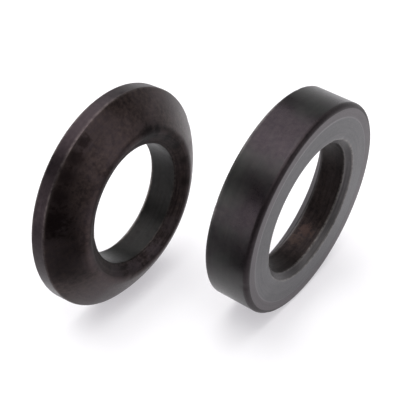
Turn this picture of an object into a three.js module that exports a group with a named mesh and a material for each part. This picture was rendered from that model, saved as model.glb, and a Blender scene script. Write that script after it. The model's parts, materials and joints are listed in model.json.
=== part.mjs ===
// A spherical washer and its conical seat: the two loose rings that go under a nut
// where the nut and the clamped face may not be quite parallel.
// Both rings stand on edge, a little way apart, and the washer leans back from the seat.
// X runs along the seat's axis: its bearing face looks along +X, the washer's nut face back along -X.
// Y runs across the axis and Z is up. The origin is at the bottom centre of the pair. Millimetres.

import * as THREE from 'three';

// Spherical washer
const washerDiameter = 68;
const washerBore = 37;
const rimHeight = 4.9; // plain band between the nut face and the dome
const sphereRadius = 50;
const flareWidth = 4.1; // from the bore out to where the flare at its mouth meets the dome
const flareDepth = 3.0;
const nutFaceBoreBevel = 1.0;
const nutFaceEdgeBevel = 0.6;

// Conical seat
const seatDiameter = 68;
const seatBore = 42;
const seatHeight = 14.5;
const mouthLand = 6; // flat ring left between the mouth of the cone and the outside
const coneAngle = THREE.MathUtils.degToRad( 120 ); // included angle
const bearingBoreBevel = 1.9;
const bearingEdgeRound = 1.3;
const mouthEdgeBevel = 0.5;

// How the two fit and where the washer rests
const seatedClearance = 0.3; // along the axis, between sphere and cone when closed up
const washerLean = THREE.MathUtils.degToRad( 5.3 ); // the dome looks up by this much
const liftOff = 26.2; // from the closed place to the rest place, along the seat's axis
const sideStep = 31.5; // from the closed place to the rest place, across it

// Fineness of the facets
const turnSegments = 96;
const domeSegments = 10;
const roundSegments = 4;

const washerRadius = washerDiameter / 2;
const seatRadius = seatDiameter / 2;
const mouthRadius = seatRadius - mouthLand;

// Height of the dome's centre over the nut face: the sphere meets the rim at the outside diameter.
const sphereCentre = rimHeight - Math.sqrt( sphereRadius ** 2 - washerRadius ** 2 );

// Distance from the bearing face to the dome's centre when the sphere lies in the cone.
function closedSpan() {

	const flank = coneAngle / 2;
	const contactRadius = sphereRadius * Math.cos( flank );
	const mouthToContact = ( mouthRadius - contactRadius ) / Math.tan( flank );
	const contactHeight = seatHeight - mouthToContact;
	return contactHeight + sphereRadius * Math.sin( flank ) + seatedClearance;

}

// Points on an arc, both ends included, for an outline of ( radius, height ) pairs.
function arc( centreX, centreY, radius, from, to, steps ) {

	const points = [];
	for ( let i = 0; i <= steps; i ++ ) {

		const angle = from + ( to - from ) * i / steps;
		points.push( [ centreX + radius * Math.cos( angle ), centreY + radius * Math.sin( angle ) ] );

	}

	return points;

}

// Turns a closed outline of ( radius, height ) pairs into a ring about the Y axis.
function turnedRing( outline ) {

	const points = outline.map( ( [ radius, height ] ) => new THREE.Vector2( radius, height ) );
	points.push( points[ 0 ].clone() );
	return new THREE.LatheGeometry( points, turnSegments );

}

// The outline starts at the bore on the nut face and runs outward, over the dome and back down the bore.
function washerOutline() {

	const boreRadius = washerBore / 2;
	const flareRadius = boreRadius + flareWidth;
	const rimAngle = Math.acos( washerRadius / sphereRadius );
	const flareAngle = Math.acos( flareRadius / sphereRadius );
	const flareHeight = sphereCentre + sphereRadius * Math.sin( flareAngle );
	return [
		[ boreRadius + nutFaceBoreBevel, 0 ],
		[ washerRadius - nutFaceEdgeBevel, 0 ],
		[ washerRadius, nutFaceEdgeBevel ],
		...arc( 0, sphereCentre, sphereRadius, rimAngle, flareAngle, domeSegments ),
		[ boreRadius, flareHeight - flareDepth ],
		[ boreRadius, nutFaceBoreBevel ],
	];

}

// The outline starts at the bore on the bearing face and runs outward, up the side and down the cone.
function seatOutline() {

	const boreRadius = seatBore / 2;
	const coneDepth = ( mouthRadius - boreRadius ) / Math.tan( coneAngle / 2 );
	const roundCentre = seatRadius - bearingEdgeRound;
	return [
		[ boreRadius + bearingBoreBevel, 0 ],
		...arc( roundCentre, bearingEdgeRound, bearingEdgeRound, - Math.PI / 2, 0, roundSegments ),
		[ seatRadius, seatHeight - mouthEdgeBevel ],
		[ seatRadius - mouthEdgeBevel, seatHeight ],
		[ mouthRadius, seatHeight ],
		[ boreRadius, seatHeight - coneDepth ],
		[ boreRadius, bearingBoreBevel ],
	];

}

// Brown-black oxide on turned steel
function makeWasher() {

	const material = new THREE.MeshStandardMaterial( { color: 0x2e2724, metalness: 0.8, roughness: 0.42 } );
	const washer = new THREE.Mesh( turnedRing( washerOutline() ), material );
	washer.name = 'spherical_washer';
	washer.rotation.set( 0, - washerLean, - Math.PI / 2 ); // nut face at the back, dome towards +X and up
	return washer;

}

// Neutral black oxide on turned steel
function makeSeat() {

	const material = new THREE.MeshStandardMaterial( { color: 0x343230, metalness: 0.8, roughness: 0.36 } );
	const seat = new THREE.Mesh( turnedRing( seatOutline() ), material );
	seat.name = 'conical_seat';
	seat.rotation.z = Math.PI / 2; // bearing face at the front, cone towards -X
	return seat;

}

function standOnTable( piece ) {

	piece.position.z -= new THREE.Box3().setFromObject( piece, true ).min.z;

}

function makePair() {

	const washer = makeWasher();
	const seat = makeSeat();
	washer.position.x = - closedSpan() - liftOff - sphereCentre * Math.cos( washerLean );
	washer.position.y = - sideStep;
	standOnTable( washer );
	standOnTable( seat );
	const pair = new THREE.Group();
	pair.add( seat, washer );
	const middle = new THREE.Box3().setFromObject( pair, true ).getCenter( new THREE.Vector3() );
	pair.children.forEach( ( piece ) => {

		piece.position.x -= middle.x;
		piece.position.y -= middle.y;

	} );
	return pair;

}

export default makePair();
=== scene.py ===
# A spherical washer and its conical seat in blackened steel, standing on edge on a pale table.
import json
import math

import bpy
import numpy as np
from mathutils import Matrix, Vector


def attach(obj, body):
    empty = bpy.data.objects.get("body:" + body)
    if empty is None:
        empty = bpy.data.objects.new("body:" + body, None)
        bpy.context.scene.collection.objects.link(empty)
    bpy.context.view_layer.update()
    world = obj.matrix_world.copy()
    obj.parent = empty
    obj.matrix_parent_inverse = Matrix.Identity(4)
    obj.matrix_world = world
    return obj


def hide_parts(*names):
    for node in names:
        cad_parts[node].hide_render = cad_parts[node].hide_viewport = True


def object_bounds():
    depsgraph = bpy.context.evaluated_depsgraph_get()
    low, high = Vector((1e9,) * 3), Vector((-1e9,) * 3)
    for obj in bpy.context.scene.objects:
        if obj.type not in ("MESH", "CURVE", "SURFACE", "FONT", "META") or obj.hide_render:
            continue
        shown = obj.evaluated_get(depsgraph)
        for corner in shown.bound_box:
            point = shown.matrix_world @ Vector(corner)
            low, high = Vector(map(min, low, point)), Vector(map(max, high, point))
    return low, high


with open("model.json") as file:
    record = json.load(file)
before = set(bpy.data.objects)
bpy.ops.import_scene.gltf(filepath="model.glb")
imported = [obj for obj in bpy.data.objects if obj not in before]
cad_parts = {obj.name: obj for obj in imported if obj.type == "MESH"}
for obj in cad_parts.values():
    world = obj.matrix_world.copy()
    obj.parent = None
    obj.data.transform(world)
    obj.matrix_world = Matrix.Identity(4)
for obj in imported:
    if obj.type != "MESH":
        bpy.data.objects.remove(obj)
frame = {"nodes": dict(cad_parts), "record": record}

cadBox = [list(corner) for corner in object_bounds()]
mm = 0.001  # the frame is in metres, and every size below is in millimetres
print("frame loaded")


# shared helpers

def linearColour(hexText):
    parts = [int(hexText[i:i + 2], 16) / 255 for i in (0, 2, 4)]
    return [c / 12.92 if c <= 0.04045 else ((c + 0.055) / 1.055) ** 2.4 for c in parts] + [1.0]


def addNode(tree, kind, settings=None, links=None):
    # a setting is the value of a socket or of the node itself, and a link goes from a source to a socket
    node = tree.nodes.new(kind)
    for name, value in (settings or {}).items():
        if isinstance(name, int) or name in node.inputs:
            node.inputs[name].default_value = value
        else:
            setattr(node, name, value)
    for socket, source in (links or {}).items():
        tree.links.new(source, node.inputs[socket])
    return node


def addObject(name, data):
    thing = bpy.data.objects.new(name, data)
    bpy.context.scene.collection.objects.link(thing)
    return thing


def emptyMaterial(name):
    material = bpy.data.materials.new(name)
    material.use_nodes = True
    material.node_tree.nodes.clear()
    return material


def directionTo(azimuth, elevation):
    # azimuth 0 is the -Y side and 90 the +X side
    a = math.radians(azimuth)
    e = math.radians(elevation)
    return Vector((math.sin(a) * math.cos(e), -math.cos(a) * math.cos(e), math.sin(e)))


# what the frame says about each ring, with the mount that lies on its flat face and looks out of it

flatFaceMounts = {"spherical_washer": "washer_nut_face", "conical_seat": "seat_bearing_face"}


def ringFacts(node):
    # place turns the ring's own frame, with z into the ring from its flat face, to the world's
    mount = next(m for m in frame["record"]["mounts"] if m["name"] == flatFaceMounts[node])
    away = -Vector(mount["axis"]).normalized()
    side = Vector((0, 1, 0))
    up = away.cross(side).normalized()
    turnTo = np.array([side, up, away])
    points = np.array([v.co for v in frame["nodes"][node].data.vertices]) @ turnTo.T
    low, high = points.min(axis=0), points.max(axis=0)
    middle = (low + high) / 2
    flat = turnTo.T @ np.array([middle[0], middle[1], low[2]])
    reach = np.hypot(points[:, 0] - middle[0], points[:, 1] - middle[1])
    return {
        "place": Matrix.Translation(Vector(flat)) @ Matrix(turnTo.T.tolist()).to_4x4(),
        "outside": float(reach.max()) / mm,
        "bore": float(reach.min()) / mm,
        "height": float(high[2] - low[2]) / mm,
    }


# an outline is a list of corners: radius, height over the flat face, round, wear, the finish that follows
# and, where the round has a finish of its own, that one too
# wear is 1 where the edge is rubbed bright and 0 where it is as black as the rest; on the washer's rim
# round it paints a highlight

def roundCorner(before, corner, after, size, steps=6):
    # an arc that replaces a corner of the outline, tangent to both of its sides
    here = np.array(corner)
    toBefore = np.array(before) - here
    toAfter = np.array(after) - here
    toBefore = toBefore / np.linalg.norm(toBefore)
    toAfter = toAfter / np.linalg.norm(toAfter)
    half = math.acos(np.clip(toBefore @ toAfter, -1, 1)) / 2
    back = size / math.tan(half)
    middle = here + (toBefore + toAfter) / np.linalg.norm(toBefore + toAfter) * size / math.sin(half)
    start = here + toBefore * back - middle
    end = here + toAfter * back - middle
    sweep = math.pi - 2 * half
    points = []
    for i in range(steps + 1):
        t = i / steps
        spot = (math.sin((1 - t) * sweep) * start + math.sin(t * sweep) * end) / math.sin(sweep)
        points.append(tuple(middle + spot))
    return points


def finishOutline(corners, step=0.5, wearReach=0.4):
    # rows of (radius, height, wear, finish), no further than step apart, where wear fades within its reach
    rows = []
    for i, (radius, height, size, wear, finish, *ownFinish) in enumerate(corners):
        before, after = corners[i - 1], corners[(i + 1) % len(corners)]
        if size > 0:
            arc = roundCorner(before[:2], (radius, height), after[:2], size)
            first, second = (ownFinish or [before[4]])[0], (ownFinish or [finish])[0]
            rows += [(*p, wear, first if k < len(arc) / 2 else second) for k, p in enumerate(arc[:-1])]
            rows.append((*arc[-1], wear, finish))
        else:
            rows.append((radius, height, wear, finish))
    fine = []
    for row, after in zip(rows, rows[1:] + rows[:1]):
        gap = math.hypot(after[0] - row[0], after[1] - row[1])
        pieces = max(1, math.ceil(gap / step))
        for k in range(pieces):
            t = k / pieces
            fromRow = row[2] * max(0, 1 - t * gap / wearReach)
            fromAfter = after[2] * max(0, 1 - (1 - t) * gap / wearReach)
            radius = row[0] + (after[0] - row[0]) * t
            height = row[1] + (after[1] - row[1]) * t
            fine.append((radius, height, fromRow + fromAfter, row[3]))
    return fine


def turnRing(name, facts, outline, relief, materials, segments=360):
    # relief(angle, radius, height) is how far the real surface lies under the true one
    rows = len(outline)
    radius = np.array([p[0] for p in outline])
    height = np.array([p[1] for p in outline])
    edge = np.array([p[2] for p in outline])
    run = np.stack([np.roll(radius, -1) - np.roll(radius, 1), np.roll(height, -1) - np.roll(height, 1)], 1)
    run /= np.linalg.norm(run, axis=1)[:, None]
    outward = np.stack([run[:, 1], -run[:, 0]], 1)
    angle = np.arange(segments) * 2 * math.pi / segments
    turn = np.broadcast_to(angle[:, None], (segments, rows))
    depth = relief(turn, radius[None, :], height[None, :])
    r = radius[None, :] - outward[None, :, 0] * depth
    h = height[None, :] - outward[None, :, 1] * depth
    points = np.stack([r * np.cos(turn), r * np.sin(turn), h], 2).reshape(-1, 3) * mm
    faces = []
    for j in range(segments):
        a, b = j * rows, (j + 1) % segments * rows
        for i in range(rows):
            n = (i + 1) % rows
            faces.append((a + i, b + i, b + n, a + n))
    mesh = bpy.data.meshes.new(name)
    mesh.from_pydata(points.tolist(), [], faces)
    names = list(materials)
    index = [names.index(p[3]) for p in outline]
    mesh.polygons.foreach_set("material_index", np.tile(index, segments))
    mesh.polygons.foreach_set("use_smooth", np.ones(len(faces), bool))
    wear = mesh.attributes.new("edge", "FLOAT", "POINT")
    wear.data.foreach_set("value", np.tile(edge, segments).astype(np.float32))
    for material in materials.values():
        mesh.materials.append(material)
    mesh.update()
    piece = addObject(name, mesh)
    piece.matrix_world = facts["place"]
    return piece


def waves(seed, count, around, along, deep):
    # smooth waviness from 0 to deep: a sum of count waves, each with up to around crests in a turn of the
    # ring and no shorter than along over the radius or the height of its outline
    rng = np.random.default_rng(seed)
    turns = rng.integers(1, around + 1, count)
    steps = rng.uniform(-1, 1, (count, 2)) * 2 * math.pi / along
    phases = rng.uniform(0, 2 * math.pi, count)

    def depth(angle, radius, height):
        total = 0
        for n, (a, b), p in zip(turns, steps, phases):
            total = total + np.sin(n * angle + a * radius + b * height + p)
        return deep * (0.5 + 0.5 * total / count)

    return depth


def dents(seed, count, sizes, depths, spots):
    # small knocks, each at some angle round the ring and at one of the spots (radius, height)
    rng = np.random.default_rng(seed)
    made = []
    for _ in range(count):
        r, h = spots[rng.integers(len(spots))]
        made.append((rng.uniform(0, 2 * math.pi), r, h, rng.uniform(*sizes), rng.uniform(*depths)))

    def depth(angle, radius, height):
        total = 0
        for place, r, h, size, deep in made:
            around = (angle - place + math.pi) % (2 * math.pi) - math.pi
            away = (around * r) ** 2 + (radius - r) ** 2 + (height - h) ** 2
            total = total + deep * np.exp(-away / size ** 2)
        return total

    return depth


# black oxide on steel: magnetite grown in the steel's own skin and oiled, so it shines like a dark metal,
# mirrors little of what it faces and much more at a glancing angle, and keeps the marks of the cut below it

spotShape = {
    "raggedness": 3,  # all three are parts of a spot's size
    "fadesFrom": 0.3,
    "fullFrom": 1.1,
}


def blackOxide(look):
    material = emptyMaterial(look["name"])
    tree = material.node_tree

    place = addNode(tree, "ShaderNodeTexCoord")
    inMm = addNode(tree, "ShaderNodeVectorMath", {"operation": "MULTIPLY", 1: (1 / mm, 1 / mm, 1 / mm)},
                   {0: place.outputs["Object"]})
    split = addNode(tree, "ShaderNodeSeparateXYZ", None, {0: inMm.outputs[0]})
    flat = addNode(tree, "ShaderNodeVectorMath", {"operation": "MULTIPLY", 1: (1, 1, 0)},
                   {0: inMm.outputs[0]})
    radius = addNode(tree, "ShaderNodeVectorMath", {"operation": "LENGTH"}, {0: flat.outputs[0]})
    outward = addNode(tree, "ShaderNodeVectorMath", {"operation": "NORMALIZE"}, {0: flat.outputs[0]})

    # tool marks, long round the ring and short across it
    around = addNode(tree, "ShaderNodeVectorMath", {"operation": "SCALE", "Scale": look["marksAround"]},
                     {0: outward.outputs[0]})
    across = addNode(tree, "ShaderNodeMath", {"operation": "DIVIDE", 1: look["marksPitch"]},
                     {0: split.outputs["Z"]})
    acrossVector = addNode(tree, "ShaderNodeCombineXYZ", None, {"Z": across.outputs[0]})
    markPlace = addNode(tree, "ShaderNodeVectorMath", {"operation": "ADD"},
                        {0: around.outputs[0], 1: acrossVector.outputs[0]})
    radial = addNode(tree, "ShaderNodeMath", {"operation": "DIVIDE", 1: look["marksPitch"]},
                     {0: radius.outputs["Value"]})
    marks = addNode(tree, "ShaderNodeTexNoise",
                    {"noise_dimensions": "4D", "Scale": 1.0, "Detail": 3.0, "Roughness": 0.6},
                    {"Vector": markPlace.outputs[0], "W": radial.outputs[0]})

    # cloudy patches of thicker and thinner oxide, blotches inside them, and grain
    patches = addNode(tree, "ShaderNodeTexNoise",
                      {"Scale": 1 / look["patchSize"], "Detail": 3.0, "Roughness": 0.55, "Distortion": 0.4},
                      {"Vector": inMm.outputs[0]})
    blotches = addNode(tree, "ShaderNodeTexNoise",
                       {"Scale": 1 / look["blotchSize"], "Detail": 4.0, "Roughness": 0.65},
                       {"Vector": inMm.outputs[0]})
    grain = addNode(tree, "ShaderNodeTexNoise",
                    {"Scale": 1 / look["grainSize"], "Detail": 2.0, "Roughness": 0.7},
                    {"Vector": inMm.outputs[0]})
    cloud = addNode(tree, "ShaderNodeMapRange",
                    {"interpolation_type": "SMOOTHSTEP", "From Min": 0.35, "From Max": 0.68},
                    {"Value": patches.outputs[0]})
    speck = addNode(tree, "ShaderNodeMapRange", {"From Min": 0.3, "From Max": 0.75},
                    {"Value": blotches.outputs[0]})
    oxide = addNode(tree, "ShaderNodeMix",
                    {"data_type": "RGBA", 6: linearColour(look["thick"]), 7: linearColour(look["thin"])},
                    {0: cloud.outputs[0]})
    speckAmount = addNode(tree, "ShaderNodeMath", {"operation": "MULTIPLY", 1: look["blotchAmount"]},
                          {0: speck.outputs[0]})
    mottled = addNode(tree, "ShaderNodeMix", {"data_type": "RGBA", 7: linearColour(look["blotch"])},
                      {0: speckAmount.outputs[0], 6: oxide.outputs[2]})

    # the bottoms of the tool marks hold more oxide
    streak = addNode(tree, "ShaderNodeMapRange",
                     {"From Min": 0.58, "From Max": 0.36, "To Max": look["streakAmount"]},
                     {"Value": marks.outputs[0]})
    colour = addNode(tree, "ShaderNodeMix", {"data_type": "RGBA", 7: linearColour(look["streak"])},
                     {0: streak.outputs[0], 6: mottled.outputs[2]})

    # spots with ragged edges: dark ones are painted reflections of dark surroundings, pale ones are painted
    # light, brown ones are rust
    for spot in look["spots"]:
        size = spot["size"]
        away = addNode(tree, "ShaderNodeVectorMath", {"operation": "DISTANCE", 1: spot["at"]},
                       {0: inMm.outputs[0]})
        ragged = addNode(tree, "ShaderNodeMath",
                         {"operation": "MULTIPLY_ADD", 1: -size * spotShape["raggedness"]},
                         {0: blotches.outputs[0], 2: away.outputs["Value"]})
        cover = addNode(tree, "ShaderNodeMapRange",
                        {"From Min": -size * spotShape["fadesFrom"],
                         "From Max": -size * spotShape["fullFrom"], "To Max": spot["amount"]},
                        {"Value": ragged.outputs[0]})
        colour = addNode(tree, "ShaderNodeMix", {"data_type": "RGBA", 7: linearColour(spot["colour"])},
                         {0: cover.outputs[0], 6: colour.outputs[2]})

    # edges rub through to paler metal in uneven lines, between a quarter and all of the rub; the pale line
    # on the washer's rim round is a painted highlight
    edge = addNode(tree, "ShaderNodeAttribute", {"attribute_name": "edge"})
    rubbedAndHighlight = addNode(tree, "ShaderNodeMapRange",
                     {"From Min": 0.36, "From Max": 0.62, "To Min": look["rub"] / 4, "To Max": look["rub"]},
                     {"Value": blotches.outputs[0]})
    wear = addNode(tree, "ShaderNodeMath", {"operation": "MULTIPLY"},
                   {0: edge.outputs["Fac"], 1: rubbedAndHighlight.outputs[0]})
    worn = addNode(tree, "ShaderNodeMix", {"data_type": "RGBA", 7: linearColour(look["rubbedAndHighlight"])},
                   {0: wear.outputs[0], 6: colour.outputs[2]})

    # thin oxide is duller than thick, and the grain breaks up both
    low, high = look["roughness"]
    rough = addNode(tree, "ShaderNodeMapRange",
                    {"From Min": 0.3, "From Max": 0.7, "To Min": low, "To Max": high},
                    {"Value": patches.outputs[0]})
    gritty = addNode(tree, "ShaderNodeMapRange",
                     {"From Min": 0.3, "From Max": 0.7, "To Min": -0.05, "To Max": 0.06},
                     {"Value": grain.outputs[0]})
    roughness = addNode(tree, "ShaderNodeMath", {"operation": "ADD"},
                        {0: rough.outputs[0], 1: gritty.outputs[0]})

    markRelief = addNode(tree, "ShaderNodeBump", {"Distance": look["markDepth"] * mm, "Strength": 1.0},
                         {"Height": marks.outputs[0]})
    blotchRelief = addNode(tree, "ShaderNodeBump", {"Distance": look["blotchDepth"] * mm, "Strength": 1.0},
                           {"Height": blotches.outputs[0], "Normal": markRelief.outputs[0]})
    grainRelief = addNode(tree, "ShaderNodeBump", {"Distance": look["grainDepth"] * mm, "Strength": 1.0},
                          {"Height": grain.outputs[0], "Normal": blotchRelief.outputs[0]})

    shader = addNode(tree, "ShaderNodeBsdfPrincipled",
                     {"Metallic": 1.0, "Specular Tint": linearColour(look["glance"])},
                     {"Base Color": worn.outputs[2], "Roughness": roughness.outputs[0],
                      "Normal": grainRelief.outputs[0]})
    addNode(tree, "ShaderNodeOutputMaterial", None, {"Surface": shader.outputs[0]})
    return material


def finishMaterials(ring):
    # one material for each finish: the ring's oxide, the finish it is like, and what is its own
    made = {}
    for finish, own in ring["finishes"].items():
        alike = ring["finishes"].get(own.get("like"), {})
        spots = [spot for group in own.get("spotGroups", []) for spot in ring[group]]
        made[finish] = blackOxide({**ring["oxide"], **alike, **own, "spots": spots})
    return made


print("helpers ready")


# the spherical washer: rim, domed face and flared bore

washer = {
    # sizes that the frame doesn't give
    "rimHeight": 4.9,
    "sphereRadius": 50,
    "flareWidth": 4.1,
    "flareDepth": 3.0,
    "boreBevel": 1.0,
    "edgeBevel": 0.6,
    "bevelRound": 0.2,
    "footRound": 0.25,  # where the bevel meets the rim
    "rimRound": 0.8,
    "flareRound": 3.6,
    "boreRound": 0.6,
    "domePoints": 60,
    "roundClear": 0.3,  # the dome's own points keep this far from a rounded corner

    # how the real surface strays from the true one
    "waviness": {"seed": 3, "count": 14, "around": 9, "along": 24, "deep": 0.05},
    "flareRipples": {"seed": 4, "count": 12, "around": 5, "along": 1.3, "deep": 0.05},
    "rippleInset": 0.2,
    "knocks": {"seed": 5, "count": 16, "sizes": (0.5, 1.3), "depths": (0.06, 0.16)},
    "knockHeight": 0.5,  # of the knocks low on the rim

    # the oxide that its finishes start from, with its colours where it is thick, thin, blotched and so on
    "oxide": {
        "thick": "241e1f", "thin": "3f373a",
        "blotch": "504441", "blotchAmount": 0.7,
        "streak": "1c1718", "streakAmount": 0.15,
        "rubbedAndHighlight": "8a817c", "rub": 0.8,
        "glance": "ffffff",  # mirrors everything at a glancing angle, as bare metal does
        "roughness": (0.32, 0.46),
        "patchSize": 12,  # about as wide as the oil pools while the ring dries
        "blotchSize": 1.4, "blotchDepth": 0.02,
        # real grain is about 0.02 and a real feed 0.1 to 0.2; both are drawn coarser so that they show
        "grainSize": 0.45, "grainDepth": 0.006,
        "marksPitch": 0.9, "markDepth": 0.006,
        "marksAround": 1.2,  # marks in a radian
    },
    "finishes": {
        # ground dome: hardly any marks, so the cloudy oxide shows in a soft wide shine
        "ground": {"name": "blackOxideGroundSteel", "spotGroups": ["paintedDarkReflections"]},
        # turned rim: closer marks, and oxide that is darker and more even
        "turned": {
            "name": "blackOxideTurnedSteel",
            "thick": "241e21", "thin": "322b2e", "blotch": "3b3336",
            "marksPitch": 0.5, "markDepth": 0.008,
        },
        # faced nut side: rings left by the facing cut
        "faced": {"name": "blackOxideFacedSteel", "marksPitch": 0.6, "markDepth": 0.01},
        # roughly turned flare: deep marks that break its shine into dark and pale rings
        "flared": {
            "name": "blackOxideRoughTurnedSteel",
            "thick": "221d1e", "thin": "363031", "streakAmount": 0.7,
            "marksPitch": 0.7, "markDepth": 0.05, "roughness": (0.42, 0.58),
            "spotGroups": ["paintedDarkReflections", "paintedFlareLight"],
        },
        # mouth of the bore: painted shade, a near-black line at the sharp edge between the bore wall and
        # the flare
        "scorched": {
            "name": "blackOxidePaintedShadeMouth",
            "thick": "110e0f", "thin": "211d1e", "blotch": "3a3433", "blotchSize": 0.9,
        },
        # bored hole: an even black with fine lines round it
        "bored": {
            "name": "blackOxideBoredSteel",
            "thick": "171717", "thin": "222222", "blotch": "2b2a29", "streakAmount": 0.3,
        },
    },

    # painted dark reflections: dark spots round the mouth of the bore, then near the rim
    "paintedDarkReflections": [
        {"at": (4.5, 22.5, 12.4), "size": 3.4, "colour": "151213", "amount": 0.85},
        {"at": (8.5, 21.6, 12.2), "size": 2.3, "colour": "151213", "amount": 0.85},
        {"at": (13.4, 16.6, 11.6), "size": 1.7, "colour": "191516", "amount": 0.8},
        {"at": (17.6, 11.6, 11.4), "size": 1.7, "colour": "1b1717", "amount": 0.75},
        {"at": (21.0, 4.5, 11.5), "size": 1.8, "colour": "1b1717", "amount": 0.7},
        {"at": (21.2, -3.5, 11.2), "size": 1.8, "colour": "1b1717", "amount": 0.6},
        {"at": (-15.5, 28.6, 6.2), "size": 2.2, "colour": "171112", "amount": 0.7},
        {"at": (-19.5, 25.6, 6.3), "size": 2.6, "colour": "171112", "amount": 0.7},
        {"at": (-23.6, 21.8, 6.3), "size": 2.8, "colour": "171112", "amount": 0.7},
        {"at": (-27.2, 17.2, 6.3), "size": 3.2, "colour": "171112", "amount": 0.75},
        {"at": (-30.0, 10.5, 6.2), "size": 5.5, "colour": "150f10", "amount": 0.8},
    ],
    # painted light: paler spots low in the flare that lift its shade
    "paintedFlareLight": [
        {"at": (13.6, -16.0, 11.4), "size": 3.2, "colour": "453e41", "amount": 0.5},
        {"at": (5.4, -20.2, 11.4), "size": 3.8, "colour": "4e464a", "amount": 0.6},
        {"at": (-4.0, -20.6, 11.4), "size": 4.0, "colour": "4e464a", "amount": 0.6},
        {"at": (-12.2, -17.0, 11.4), "size": 3.8, "colour": "453e41", "amount": 0.5},
    ],
}


def washerOutline(facts):
    outside, bore = facts["outside"], facts["bore"]
    sphere, clear = washer["sphereRadius"], washer["roundClear"]
    middle = washer["rimHeight"] - math.sqrt(sphere ** 2 - outside ** 2)

    def onDome(angle):
        return sphere * math.cos(angle), middle + sphere * math.sin(angle)

    rim = math.acos(outside / sphere)
    flare = math.acos((bore + washer["flareWidth"]) / sphere)
    first = rim + (washer["rimRound"] + clear) / sphere
    last = flare - (washer["flareRound"] + clear) / sphere
    flareFoot = onDome(flare)[1] - washer["flareDepth"]
    corners = [
        (bore + washer["boreBevel"], 0, washer["bevelRound"], 0.35, "faced"),
        (outside - washer["edgeBevel"], 0, washer["bevelRound"], 0.5, "turned"),
        (outside, washer["edgeBevel"], washer["footRound"], 0.3, "turned"),
        # the rim's round takes a little wear: a thin pale line that is a painted highlight
        (*onDome(rim), washer["rimRound"], 0.1, "ground"),
    ]
    for i in range(washer["domePoints"] + 1):
        angle = first + (last - first) * i / washer["domePoints"]
        corners.append((*onDome(angle), 0, 0, "ground"))
    corners += [
        (*onDome(flare), washer["flareRound"], 0, "flared"),
        # the round at the mouth of the bore is painted shade
        (bore, flareFoot, washer["boreRound"], 0.05, "bored", "scorched"),
        (bore, washer["boreBevel"], washer["bevelRound"], 0.2, "faced"),
    ]
    return finishOutline(corners)


def makeWasher():
    facts = ringFacts("spherical_washer")
    top = facts["height"]
    flare = facts["bore"] + washer["flareWidth"]
    flareFoot = top - washer["flareDepth"]
    wavy = waves(**washer["waviness"])
    ripples = waves(**washer["flareRipples"])
    knocks = dents(**washer["knocks"], spots=[
        (facts["outside"], washer["rimHeight"]),
        (flare, top),
        (facts["outside"], washer["knockHeight"]),
        (facts["bore"], flareFoot),
    ])

    def relief(angle, radius, height):
        inFlare = (radius < flare - washer["rippleInset"]) & (height > flareFoot)
        return (wavy(angle, radius, height) + knocks(angle, radius, height)
                + inFlare * ripples(angle, radius, height))

    piece = turnRing("sphericalWasherRing", facts, washerOutline(facts), relief, finishMaterials(washer))
    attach(piece, "washer")
    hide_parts("spherical_washer")
    print("spherical washer made")


# the conical seat: thick ring, flat bearing face, cone at the far end

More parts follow.
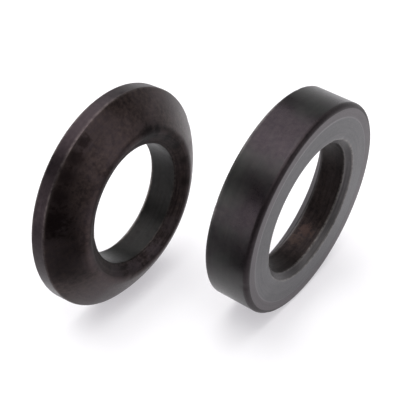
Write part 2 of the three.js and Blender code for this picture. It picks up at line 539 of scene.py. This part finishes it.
seat = {
    # sizes that the frame doesn't give
    "mouthLand": 6,
    "coneAngle": 120,
    "boreBevel": 1.9,
    "bevelRound": 0.3,
    "edgeRound": 1.4,
    "boreRound": 1.2,
    "mouthBevel": 0.5,
    "mouthRound": 0.2,  # of all three corners at the cone's end
    "facedRadius": 29.6,  # the last facing cut stops here
    "facedStep": 0.06,
    "stepWidth": 0.35,

    # how the real surface strays from the true one
    "waviness": {"seed": 13, "count": 14, "around": 7, "along": 30, "deep": 0.035},
    "knocks": {"seed": 15, "count": 14, "sizes": (0.5, 1.3), "depths": (0.06, 0.16)},
    "knockHeight": 0.6,  # of the knocks on the outer edge
    "knockInset": 1.5,  # of the knocks on the bore's bevel

    # the oxide that its finishes start from, with its colours where it is thick, thin, blotched and so on
    "oxide": {
        "thick": "2a2529", "thin": "363736",
        "blotch": "433d3d", "blotchAmount": 0.35,
        "streak": "1f1d1f", "streakAmount": 0.15,
        "rubbedAndHighlight": "8a8684", "rub": 0.8,
        "glance": "ffffff",  # mirrors everything at a glancing angle, as bare metal does
        "roughness": (0.28, 0.38),
        "patchSize": 18,  # about as wide as the oil pools while the ring dries
        "blotchSize": 1.6, "blotchDepth": 0.008,
        # real grain is about 0.02 and a real feed 0.1 to 0.2; both are drawn coarser so that they show
        "grainSize": 0.4, "grainDepth": 0.004,
        "marksPitch": 0.8, "markDepth": 0.004,
        "marksAround": 1.2,  # marks in a radian
    },
    "finishes": {
        # faced bearing side: a pale flat grey shine with faint rings
        "faced": {
            "name": "seatBlackOxideFacedSteel",
            "thick": "484749", "thin": "5b5a5c", "blotch": "646365",
            "streak": "3a383a", "streakAmount": 0.35, "markDepth": 0.006, "roughness": (0.34, 0.42),
        },
        # outside the last facing cut: a shade browner and more clouded
        "outerFaced": {
            "name": "seatBlackOxideRoughFacedSteel", "like": "faced",
            "thick": "494447", "thin": "565154", "blotch": "5e585b", "patchSize": 9,
        },
        # step where that cut stopped: a real step, whose thin pale ring is a painted highlight
        "stepped": {
            "name": "seatBlackOxideToolStepHighlight", "like": "faced",
            "thick": "5f5c5f", "thin": "6f6c6f",
        },
        # rounded outer edge: painted shade, a dark and dull line
        "scorched": {
            "name": "seatBlackOxidePaintedShadeEdge",
            "thick": "252123", "thin": "353032", "blotch": "433b3d", "blotchSize": 1.0,
            "roughness": (0.4, 0.52),
        },
        # turned outside: smooth and even, with the clearest mirror of the room
        "turned": {"name": "seatBlackOxideTurnedSteel"},
        # ground cone: an even dull grey that a glancing view brightens less than the rest
        "coned": {
            "name": "seatBlackOxideGroundCone",
            "thick": "2e2c2d", "thin": "403e3f", "roughness": (0.42, 0.5), "glance": "cbc9cb",
        },
        # bored hole: uneven brown-black scale with a touch of rust
        "bored": {
            "name": "seatBlackOxideBoredSteel",
            "thick": "1a1617", "thin": "2d2829", "blotch": "3a322f", "blotchAmount": 0.6,
            "streak": "100e0f", "streakAmount": 0.5, "patchSize": 8, "blotchSize": 1.1, "blotchDepth": 0.04,
            "marksAround": 2.5, "marksPitch": 1.0, "roughness": (0.38, 0.55),
            "spotGroups": ["rustSpots"],
        },
        # bevel of the bore: a ring nearly as pale as the face
        "bevelled": {
            "name": "seatBlackOxideBevel",
            "thick": "444243", "thin": "555354", "streakAmount": 0.4, "roughness": (0.35, 0.45),
        },
    },
    "rustSpots": [
        {"at": (10.5, 18.2, 6.5), "size": 2.4, "colour": "362a27", "amount": 0.65},
        {"at": (6.5, 20.0, 7.5), "size": 2.0, "colour": "352b27", "amount": 0.6},
    ],
}


def seatOutline(facts):
    outside, bore, height = facts["outside"], facts["bore"], facts["height"]
    mouth = outside - seat["mouthLand"]
    coneDepth = (mouth - bore) / math.tan(math.radians(seat["coneAngle"] / 2))
    return finishOutline([
        (bore + seat["boreBevel"], seat["facedStep"], seat["bevelRound"], 0.4, "faced"),
        # the step is painted paler, as a highlight
        (seat["facedRadius"], seat["facedStep"], 0, 0, "stepped"),
        (seat["facedRadius"] + seat["stepWidth"], 0, 0, 0, "outerFaced"),
        # the outer edge's round is painted shade
        (outside, 0, seat["edgeRound"], 0, "turned", "scorched"),
        (outside, height - seat["mouthBevel"], seat["mouthRound"], 0.15, "turned"),
        (outside - seat["mouthBevel"], height, seat["mouthRound"], 0.3, "faced"),
        (mouth, height, seat["mouthRound"], 0.7, "coned"),
        (bore, height - coneDepth, seat["boreRound"], 0.1, "bored", "coned"),
        (bore, seat["boreBevel"], seat["bevelRound"], 0.3, "bevelled"),
    ])


def makeSeat():
    facts = ringFacts("conical_seat")
    wavy = waves(**seat["waviness"])
    knocks = dents(**seat["knocks"], spots=[
        (facts["outside"], seat["knockHeight"]),
        (facts["bore"] + seat["knockInset"], 0),
        (facts["outside"], facts["height"]),
    ])

    def relief(angle, radius, height):
        return wavy(angle, radius, height) + knocks(angle, radius, height)

    piece = turnRing("conicalSeatRing", facts, seatOutline(facts), relief, finishMaterials(seat))
    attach(piece, "seat")
    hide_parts("conical_seat")
    print("conical seat made")


# table, cards, lights and camera

def plainMaterial(name, settings):
    material = emptyMaterial(name)
    shader = addNode(material.node_tree, "ShaderNodeBsdfPrincipled", settings)
    addNode(material.node_tree, "ShaderNodeOutputMaterial", None, {"Surface": shader.outputs[0]})
    return material


def flatSheet(name, corners, material):
    mesh = bpy.data.meshes.new(name)
    mesh.from_pydata(corners, [], [(0, 1, 2, 3)])
    mesh.materials.append(material)
    return addObject(name, mesh)


# a table of opal acrylic, cast with a satin face and lit from below: white, with soft shadows and no shine

tableFacts = {
    "reach": 6000,
    "colour": "c4c4c4",
    "roughness": 0.9,
    "glowColour": "fcf9ff",
    "glow": 0.45,
}


def makeTable():
    reach = tableFacts["reach"] * mm
    low = cadBox[0][2]
    corners = [(x * reach, y * reach, low) for x, y in ((-1, -1), (1, -1), (1, 1), (-1, 1))]
    table = flatSheet("table", corners, plainMaterial("opalAcrylicLightTable", {
        "Base Color": linearColour(tableFacts["colour"]), "Roughness": tableFacts["roughness"],
        "Emission Color": linearColour(tableFacts["glowColour"]), "Emission Strength": tableFacts["glow"],
    }))


# a small black card and a small grey one, uncoated and so without shine, and unseen by the camera
# the near side of each ring mirrors its card and comes out darker for it
# each lies between a near and a far end, at distances from a point under the ring

cardList = {
    "washerCard": {
        "material": "matteBlackCard",
        "colour": "101010",
        "roughness": 0.9,
        "azimuth": 62,
        "from": (-14, -47),
        "near": {"distance": 12, "height": 1, "width": 30},
        "far": {"distance": 118, "height": 40, "width": 78},
    },
    "seatCard": {
        "material": "matteGreyCard",
        "colour": "a8a8a8",
        "roughness": 0.9,
        "azimuth": -25,
        "from": (19, -18),
        "near": {"distance": 62, "height": 1, "width": 50},
        "far": {"distance": 120, "height": 14, "width": 80},
    },
}


def makeCards():
    for name, facts in cardList.items():
        out = directionTo(facts["azimuth"], 0)
        side = Vector((0, 0, 1)).cross(out)
        corners = []
        for end, turn in (("near", -1), ("near", 1), ("far", 1), ("far", -1)):
            place = facts[end]
            corner = Vector((*facts["from"], place["height"])) + out * place["distance"]
            corners.append(tuple((corner + side * turn * place["width"] / 2) * mm))
        card = flatSheet(name, corners, plainMaterial(facts["material"], {
            "Base Color": linearColour(facts["colour"]), "Roughness": facts["roughness"],
        }))
        card.visible_camera = False
        card.visible_diffuse = False
        card.visible_shadow = False


# soft lights round the rings, each as far as distance from their middle, in a grey room

lightList = {
    "overheadSoftbox": {"azimuth": -100, "elevation": 66, "distance": 500, "size": (600, 800), "glow": 2.3},
    "leftStrip": {"azimuth": -24, "elevation": 8, "distance": 450, "size": (230, 240), "glow": 2.1},
    "rightFill": {"azimuth": 108, "elevation": 23, "distance": 600, "size": (590, 270), "glow": 1.3},
    "backPanel": {"azimuth": -172, "elevation": 12, "distance": 900, "size": (1500, 500), "glow": 0.5},
    "topFill": {"azimuth": 20, "elevation": 78, "distance": 900, "size": (700, 700), "glow": 2.2},
}

roomColour = "969696"


def makeLights():
    centre = (Vector(cadBox[0]) + Vector(cadBox[1])) / 2
    for name, facts in lightList.items():
        data = bpy.data.lights.new(name, "AREA")
        data.shape = "RECTANGLE"
        data.size, data.size_y = (side * mm for side in facts["size"])
        data.energy = facts["glow"] * math.pi * data.size * data.size_y
        light = addObject(name, data)
        out = directionTo(facts["azimuth"], facts["elevation"])
        light.location = centre + out * facts["distance"] * mm
        light.rotation_mode = "QUATERNION"
        light.rotation_quaternion = out.to_track_quat("Z", "Y")
        light.visible_camera = False
    world = bpy.data.worlds.new("softRoom")
    bpy.context.scene.world = world
    world.use_nodes = True
    world.node_tree.nodes["Background"].inputs["Color"].default_value = linearColour(roomColour)


# the camera looks at a point beside the middle of the two flat faces

cameraFacts = {
    "azimuth": 33.72,
    "elevation": 39.35,
    "roll": 4.14,
    "distance": 323.8,
    "halfView": 58.99,  # half of the frame's width at that distance
    "aimRight": -3.30,
    "aimUp": 0.555,
    "sensor": 36,
    "nearest": 10,  # it sees nothing nearer than this or further than the next
    "furthest": 50000,
}


def makeCamera():
    facts = cameraFacts
    data = bpy.data.cameras.new("camera")
    data.sensor_width = facts["sensor"]
    data.lens = facts["sensor"] / 2 * facts["distance"] / facts["halfView"]
    data.clip_start = facts["nearest"] * mm
    data.clip_end = facts["furthest"] * mm
    camera = addObject("camera", data)
    back = directionTo(facts["azimuth"], facts["elevation"])
    level = Vector((0, 0, 1)).cross(back).normalized()
    upright = back.cross(level)
    roll = math.radians(facts["roll"])
    right = level * math.cos(roll) + upright * math.sin(roll)
    up = upright * math.cos(roll) - level * math.sin(roll)
    faces = [ringFacts(node)["place"].translation for node in flatFaceMounts]
    centre = (faces[0] + faces[1]) / 2
    aim = centre + (right * facts["aimRight"] + up * facts["aimUp"]) * mm
    camera.matrix_world = (Matrix.Translation(aim + back * facts["distance"] * mm)
                           @ Matrix((right, up, back)).transposed().to_4x4())
    bpy.context.scene.camera = camera


makeCamera()
makeWasher()
makeSeat()
makeTable()
makeCards()
makeLights()
bpy.context.scene.view_settings.view_transform = "Standard"
print("stage made")
